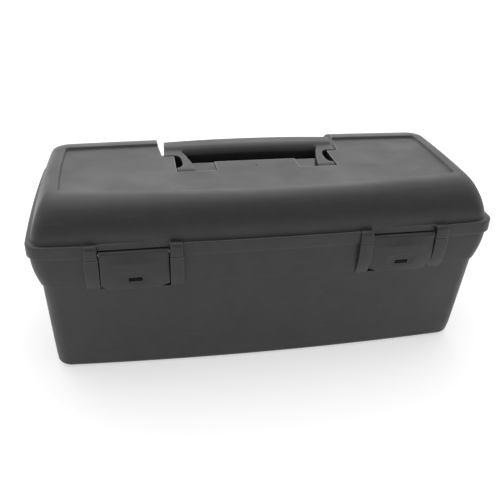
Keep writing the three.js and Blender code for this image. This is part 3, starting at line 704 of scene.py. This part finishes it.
def makeLid():
    outside = lidOutsideRings()
    shell = loft("lid_body", list(reversed(lidInsideRings())) + outside)
    well = prismUp("well", wellPlan(wall), wellFloor - wall, caseTop)
    combine(well, loft("outside", outside), "INTERSECT")
    join(shell, well)
    cut(shell, prismUp("well room", wellPlan(0), wellFloor, caseTop + 1))
    front, half = wellSize["front"], wellSize["tabHalfWidth"]
    tab = [(-half, front - wall), (half, front - wall),
           (half, front + wellSize["tabReach"]), (-half, front + wellSize["tabReach"])]
    join(shell, prismUp("tab", softOutline(tab, wellSize["tabRadius"]), panelTop - wall, panelTop))
    # where the plastic was fed into the mould
    gate = circlePoints(lidSize["gateX"], front + lidSize["gateFromWell"], lidSize["gateRadius"])
    cut(shell, prismUp("gate mark", gate, panelTop - lidSize["gateDepth"], panelTop + 1))
    join(shell, *[lidRib(x) for x in ribCentres])
    join(shell, *[makePart(side) for makePart in (latchEave, lidKnuckle) for side in bothSides])
    pinReach = latchSize["bay"] / 2 + binSize["ribWidth"] - wall
    for side in bothSides:
        cut(shell, *latchNotches(side), hingeBore(side), latchBore(side, pinReach))
        fromX, toX = sorted((side * (wellSize["halfWidth"] - 1), side * (wellSize["halfWidth"] + wall + 1)))
        cut(shell, rodAcross("bore", handleSize["pinRadius"] + gap, fromX, toX, pivotY, pivotZ))
    return finishPiece(shell, casePlastic, "lid", "case_plastic", "lid_shell")


def gripSlice(x):
    # lightly rounded behind, well rounded in front, taller in the middle of the grip
    share = x / gripHalf
    rear = gripRear - handleSize["gripBow"] * share ** 2
    front = gripRear - handleSize["gripDepth"]
    top = armTop + handleSize["gripRise"] + handleSize["gripCrown"] * (1 - share ** 2)
    small, large = handleSize["edgeRound"], handleSize["frontRound"]
    outline = arcPoints(rear - small, gripBottom + small, small, 270, 360, 8)
    outline += arcPoints(rear - small, top - small, small, 0, 90, 8)
    outline += arcPoints(front + large, top - large, large, 90, 180, 16)
    outline += arcPoints(front + small, gripBottom + small, small, 180, 270, 8)
    return [(x, y, z) for y, z in outline]


def armPlan():
    # wide at its foot, slim behind it, and spreading into the grip's end block
    tip = wellSize["front"] + swingGap
    blockFront = wellSize["step"] + swingGap + gap
    blockInner = gripHalf - handleSize["endBlock"]
    footOuter = wellSize["halfWidth"] - swingGap
    waistOuter = wellSize["halfWidth"] - handleSize["armWaist"]
    inner = waistOuter - handleSize["armWidth"]
    footRear = pivotY + handleSize["armRadius"] / 2
    waistY = footRear + handleSize["armBend"]
    foot, waist, block = (footOuter, footRear), (waistOuter, waistY), (footOuter, blockFront)
    points = [(inner, tip), (footOuter, tip), foot]
    points += curve(foot, (waistOuter, footRear), waist)
    points += curve(waist, (waistOuter, blockFront), block)
    points += [(gripHalf, blockFront), (gripHalf, blockRear), (blockInner, blockRear)]
    elbow = (blockInner, gripRear - handleSize["gripDepth"])
    points += [elbow] + curve(elbow, (inner, waistY), (inner, tip))[:-1]
    return points


def armSide():
    # a low arm with a round eye at its foot, then the taller end block
    blockFront, radius = gripRear - handleSize["gripDepth"], handleSize["armRadius"]
    return arcPoints(pivotY, pivotZ, radius, 270, 90, 16) + [
        (blockFront, armTop), (blockRear, armTop + handleSize["gripRise"]), (blockRear, gripBottom),
        (blockFront, gripBottom), (blockFront - radius, pivotZ - radius)]


def makeHandle():
    plan = armPlan()
    clear, slices = caseTop + 6, handleSize["gripSlices"]
    handle = prismUp("carry_handle_body", plan, wellFloor, clear)
    join(handle, prismUp("left arm", [(-x, y) for x, y in reversed(plan)], wellFloor, clear))
    combine(handle, prismAcross("side", list(reversed(armSide())), -gripHalf, gripHalf), "INTERSECT")
    places = [gripHalf * (step / (slices / 2) - 1) for step in range(slices + 1)]
    join(handle, loft("grip", [gripSlice(x) for x in places]))
    cut(handle, rodAcross("bore", handleSize["pinRadius"] + gap, -gripHalf, gripHalf, pivotY, pivotZ))
    melt(handle, handleSize["meltGrain"], handleSize["meltPasses"])
    return finishPiece(handle, casePlastic, "handle", "case_plastic", "carry_handle")


def latchSlice(centre, offset, rows=26):
    # an upright slice: over the rounded top, down the outer face to the foot, and back up inside
    half = latchSize["bay"] / 2 - latchSize["sideGap"]
    share = abs(offset) / half
    foot = latchTop - latchSize["drop"]
    foot += max(0, share - latchSize["cutFrom"]) / latchSize["cutRun"] * latchSize["cornerCut"]
    face = latchAxisY - latchSize["barrel"]
    crown = latchSize["crown"] * (1 - share ** 2)
    straight = latchTop - latchSize["drop"] / 2

    def faceAt(z):
        curl = latchSize["curl"] * (max(0, straight - z) / (latchSize["drop"] / 2)) ** 2
        swell = min(1, max(0, (latchAxisZ - z) / latchSize["swell"]))
        return face - crown * swell + curl

    down = [latchAxisZ + (foot - latchAxisZ) * step / rows for step in range(rows + 1)]
    points = arcPoints(latchAxisY, latchAxisZ, latchSize["barrel"], -50, 165, 16)
    points += [(faceAt(z), z) for z in down]
    points += [(faceAt(z) + latchSize["thickness"], z) for z in reversed(down[1:])]
    return [(centre + offset, y, z) for y, z in points]


def ovalDish(centre, faceY, z):
    # a shallow oval bowl to be cut out of the latch's face, from just in front of it to the bottom
    rings = []
    for share in (-0.6, 0, 0.25, 0.5, 0.7, 0.85, 0.95, 0.99):
        size = math.sqrt(1 - max(0, share) ** 2)
        rings.append([(centre + u * latchSize["dishHalfWidth"] * size, faceY + latchSize["dishDepth"] * share,
                       z + v * latchSize["dishHalfHeight"] * size) for u, v in circlePoints(0, 0, 1, 48)])
    return loft("dish", rings)


def makeLatch(side):
    hand = "left" if side < 0 else "right"
    centre, half = side * latchSize["centre"], latchSize["bay"] / 2 - latchSize["sideGap"]
    # the slices stand closer together towards the sides, where the lower corners are cut
    steps = latchSize["slices"] // 2
    offsets = [half * math.sin(math.pi / 2 * step / steps) for step in range(-steps, steps + 1)]
    latch = loft("latch_" + hand + "_body", [latchSlice(centre, offset) for offset in offsets])
    slotZ = latchTop - latchSize["drop"] + latchSize["slotRise"]
    face = latchAxisY - latchSize["barrel"] - latchSize["crown"] + latchSize["curl"] / 4  # at the slot
    cut(latch, ovalDish(centre, face, slotZ + latchSize["dishLift"]))
    hookBack = bayBack - latchSize["catchReach"] - swingGap
    hookFront = latchAxisY - latchSize["barrel"] + latchSize["thickness"] / 2
    join(latch, block("hook", centre - half / 2, centre + half / 2, hookFront, hookBack,
                      hookZ - latchSize["hookThickness"], hookZ))
    width, height = latchSize["slotWidth"] / 2, latchSize["slotHeight"] / 2
    slot = softOutline([(-width, -height), (width, -height), (width, height), (-width, height)],
                       latchSize["slotRadius"])
    opening = loft("slot", [[(centre + u, y, slotZ + v) for u, v in reversed(slot)]
                            for y in (face - 5, face + 20)])
    cut(latch, opening, latchBore(side, latchSize["bay"]))
    melt(latch, latchSize["meltGrain"], latchSize["meltPasses"])
    return finishPiece(latch, casePlastic, "latch_" + hand, "case_plastic", "latch_" + hand)


traySize = {
    "endGap": 5.5, "sideGap": 7, "height": 34, "draft": 3, "wall": 2, "corner": 12,
    "footRadius": 1.5, "floorFillet": 3,
    "rim": 2.5, "rimRadius": 1, "rimTuck": 0.3, "mouthDrop": 0.6, "mouthFlare": 0.6, "mouthTuck": 0.1,
    "spineY": 8, "spineWall": 4, "crossWall": 62, "crossHalf": 1, "crossDrop": 7,
    "slotLength": 100, "slotHeight": 15, "slotRadius": 5, "slotDrop": 6,
    # height above the floor and inset of the space that the inner walls fill, and the inset at its top
    "rootRise": 1, "roomFoot": (0.5, 1.2), "roomKnee": (2, 0.6), "roomTop": 0.8,
}
trayFloor = binSize["shelfTop"] + gap
trayTop = trayFloor + traySize["height"]
trayHalfLength = caseSize["length"] / 2 - lengthInsetAt(binSize["shelfTop"]) - wall - traySize["endGap"]
trayHalfDepth = (caseSize["depth"] / 2 - depthInsetAt(binSize["shelfTop"]) - wall - caseSize["sideBow"]
                 - traySize["sideGap"])


def trayRing(z, grow):
    corner = traySize["corner"] + grow
    return [(x, y, z) for x, y in roundedPlan(trayHalfLength + grow, trayHalfDepth + grow,
                                              trayHalfDepth + grow, max(corner, 2))]


def trayOutside():
    under, foot = trayTop - traySize["wall"], traySize["footRadius"]
    reach = traySize["draft"] - traySize["rimTuck"]
    rim, edge = traySize["rim"], traySize["rimRadius"]
    rings = [trayRing(trayFloor + v, -foot + u) for u, v in arcPoints(0, foot, foot, 270, 360, 5)]
    rings += [trayRing(under, reach), trayRing(under, reach + rim - traySize["rimTuck"])]
    rings += [trayRing(under + edge + v, reach + rim - edge + u) for u, v in arcPoints(0, 0, edge, 0, 90, 5)]
    return rings


def trayInside(thickness):
    fillet, low = traySize["floorFillet"], trayFloor + thickness
    mouth = traySize["draft"] - thickness - traySize["mouthTuck"]
    rings = [trayRing(low + fillet + v, -thickness - fillet + u)
             for u, v in arcPoints(0, 0, fillet, 270, 360, 6)]
    rings.append(trayRing(trayTop - traySize["mouthDrop"], mouth))
    rings.append(trayRing(trayTop, mouth + traySize["mouthFlare"]))
    return rings


def makeTray():
    tray = loft("tray_body", trayOutside() + list(reversed(trayInside(traySize["wall"]))))
    y, half, top = traySize["spineY"], traySize["spineWall"] / 2, trayTop - gap
    root, crossHalf = trayFloor + traySize["rootRise"], traySize["crossHalf"]
    profile = [(y - half, root), (y + half, root)] + arcPoints(y, top - half, half, 0, 180, 12)
    walls = prismAcross("spine", profile, -trayHalfLength, trayHalfLength)
    for side in bothSides:
        x = side * traySize["crossWall"]
        profile = [(x - crossHalf, root), (x + crossHalf, root)]
        profile += arcPoints(x, top - traySize["crossDrop"], crossHalf, 0, 180, 8)
        join(walls, loft("cross wall", [[(u, level, v) for u, v in reversed(profile)]
                                        for level in (y, trayHalfDepth + traySize["draft"])]))
    high, slotHalf = top - traySize["slotDrop"], traySize["slotLength"] / 2
    low = high - traySize["slotHeight"]
    slot = softOutline([(-slotHalf, low), (slotHalf, low), (slotHalf, high), (-slotHalf, high)],
                       traySize["slotRadius"])
    cut(walls, loft("slot", [[(u, level, v) for u, v in reversed(slot)] for level in (y - 4, y + 4)]))
    room = [trayRing(trayFloor + rise, -inset)
            for rise, inset in (traySize["roomFoot"], traySize["roomKnee"])]
    room.append(trayRing(trayTop, traySize["draft"] - traySize["roomTop"]))
    combine(walls, loft("room", room), "INTERSECT")
    join(tray, walls)
    return finishPiece(tray, trayPlastic, "tray", "tray_plastic", "tray")


def makePin(node, body, fromX, toX, y, z, radius, chamfer=0.35):
    rings = []
    for x, size in ((fromX, radius - chamfer), (fromX + chamfer, radius), (toX - chamfer, radius),
                    (toX, radius - chamfer)):
        rings.append([(x, u, v) for u, v in circlePoints(y, z, size, 32)])
    return finishPiece(loft(node + "_wire", rings), pinSteel, body, "pin_steel", node)


def makePins():
    for side, hand in ((-1, "left"), (1, "right")):
        centre, half = side * hingeSize["centre"], hingeSize["width"] / 2
        makePin("hinge_pin_" + hand, "bin", centre - half, centre + half, hingeY, hingeZ,
                hingeSize["pinRadius"])
        centre, reach = side * latchSize["centre"], latchSize["bay"] / 2 + binSize["ribWidth"] - wall - gap
        makePin("latch_pin_" + hand, "lid", centre - reach, centre + reach, latchAxisY, latchAxisZ,
                latchSize["pinRadius"])
        inner = wellSize["halfWidth"] - handleSize["armWaist"] - handleSize["armWidth"] + 1
        fromX, toX = sorted((side * inner, side * (wellSize["halfWidth"] + wall - gap)))
        makePin("handle_pin_" + hand, "lid", fromX, toX, pivotY, pivotZ, handleSize["pinRadius"])


floorLook = {
    "colour": "#c4c4c4", "roughness": 0.9, "glow": 0.52,
    "fibreSize": 2, "fibreHeight": 0.02, "fibreStrength": 0.3,
    "size": 12,  # metres
    "thickness": 5, "top": -0.2,
}
lightLook = {
    # a wide bright wall behind the object that fades out over its top towards the front
    "wallHeight": 35,  # degrees above level, where the wall is brightest
    "strength": 1.8,
    "fade": ((0.2, "#8c8c8c"), (0.5, "#aeaeae"), (0.65, "#c0c0c0"), (0.8, "#cdcdcd"), (0.92, "#dedede"),
             (0.98, "#f2f2f2")),
    "overhead": 10, "overheadSize": 2.0,  # watts and metres
    "place": (-0.1, 0.5, 2.0), "aim": (0, 0, 0.1),
}


def makeFloor():
    material, tree = newMaterial("studio paper")
    fibre = noiseField(tree, addNode(tree, "TexCoord").outputs["Object"], floorLook["fibreSize"], 3)
    bump = addNode(tree, "Bump", {"Distance": floorLook["fibreHeight"] * mm,
                                  "Strength": floorLook["fibreStrength"]}, {"Height": fibre})
    # lit from under as well, as on a light table, which keeps the shadow faint
    surface = addNode(tree, "BsdfPrincipled", {
        "Base Color": toLinear(floorLook["colour"]), "Roughness": floorLook["roughness"],
        "Emission Color": (1, 1, 1, 1), "Emission Strength": floorLook["glow"],
    }, {"Normal": bump.outputs["Normal"]})
    addNode(tree, "OutputMaterial", {}, {"Surface": surface.outputs["BSDF"]})
    half = floorLook["size"] / 2 / mm
    floor = block("studio_floor", -half, half, -half, half, -floorLook["thickness"], floorLook["top"])
    floor.data.materials.append(material)


def makeWorld():
    world = bpy.data.worlds.new("studio")
    world.use_nodes = True
    tree = world.node_tree
    lift = math.radians(lightLook["wallHeight"])
    brightest = (0, math.cos(lift), math.sin(lift))
    towards = addNode(tree, "VectorMath", {"operation": "DOT_PRODUCT", 1: brightest},
                      {0: addNode(tree, "TexCoord").outputs["Generated"]})
    facing = spread(tree, towards.outputs["Value"], 0, 1, -1, 1)
    fade = addNode(tree, "ValToRGB", {}, {"Fac": facing})
    stops = fade.color_ramp.elements
    while len(stops) < len(lightLook["fade"]):
        stops.new(0.5)
    for stop, (place, shade) in zip(stops, lightLook["fade"]):
        stop.position, stop.color = place, toLinear(shade)
    backdrop = tree.nodes["Background"]
    backdrop.inputs["Strength"].default_value = lightLook["strength"]
    tree.links.new(fade.outputs["Color"], backdrop.inputs["Color"])
    bpy.context.scene.world = world
    bpy.context.scene.view_settings.view_transform = "Standard"


def makeLamp():
    light = bpy.data.lights.new("overhead softbox", "AREA")
    light.energy = lightLook["overhead"]
    light.size = lightLook["overheadSize"]
    lamp = bpy.data.objects.new("overhead softbox", light)
    lamp.location = lightLook["place"]
    lamp.rotation_euler = (Vector(lightLook["aim"]) - lamp.location).to_track_quat("-Z", "Y").to_euler()
    bpy.context.scene.collection.objects.link(lamp)


cameraPlace = {
    "position": (-106.3, -550.4, 387.5),
    "turn": 0.186, "down": 0.5138, "roll": 0.02881,  # radians
    "lens": 46.23, "sensor": 36,
}


def makeCamera():
    turn, down, roll = cameraPlace["turn"], cameraPlace["down"], cameraPlace["roll"]
    ahead = Vector((math.sin(turn) * math.cos(down), math.cos(turn) * math.cos(down), -math.sin(down)))
    level = Vector((math.cos(turn), -math.sin(turn), 0))
    up = level.cross(ahead)
    right = level * math.cos(roll) + up * math.sin(roll)
    top = up * math.cos(roll) - level * math.sin(roll)
    lens = bpy.data.cameras.new("camera")
    lens.lens = cameraPlace["lens"]
    lens.sensor_width = cameraPlace["sensor"]
    camera = bpy.data.objects.new("camera", lens)
    axes = Matrix((right, top, -ahead)).transposed().to_4x4()
    x, y, z = cameraPlace["position"]
    camera.matrix_world = Matrix.Translation((x * mm, (y + rimCentreY) * mm, z * mm)) @ axes
    bpy.context.scene.collection.objects.link(camera)
    bpy.context.scene.camera = camera


makeCamera()
makeFloor()
makeWorld()
makeLamp()
print("stage: camera, floor and light ready")
makeBin()
print("stage: bin ready")
makeLid()
print("stage: lid ready")
makeHandle()
print("stage: handle ready")
for side in bothSides:
    makeLatch(side)
print("stage: latches ready")
makeTray()
print("stage: tray ready")
makePins()
print("stage: pins ready")
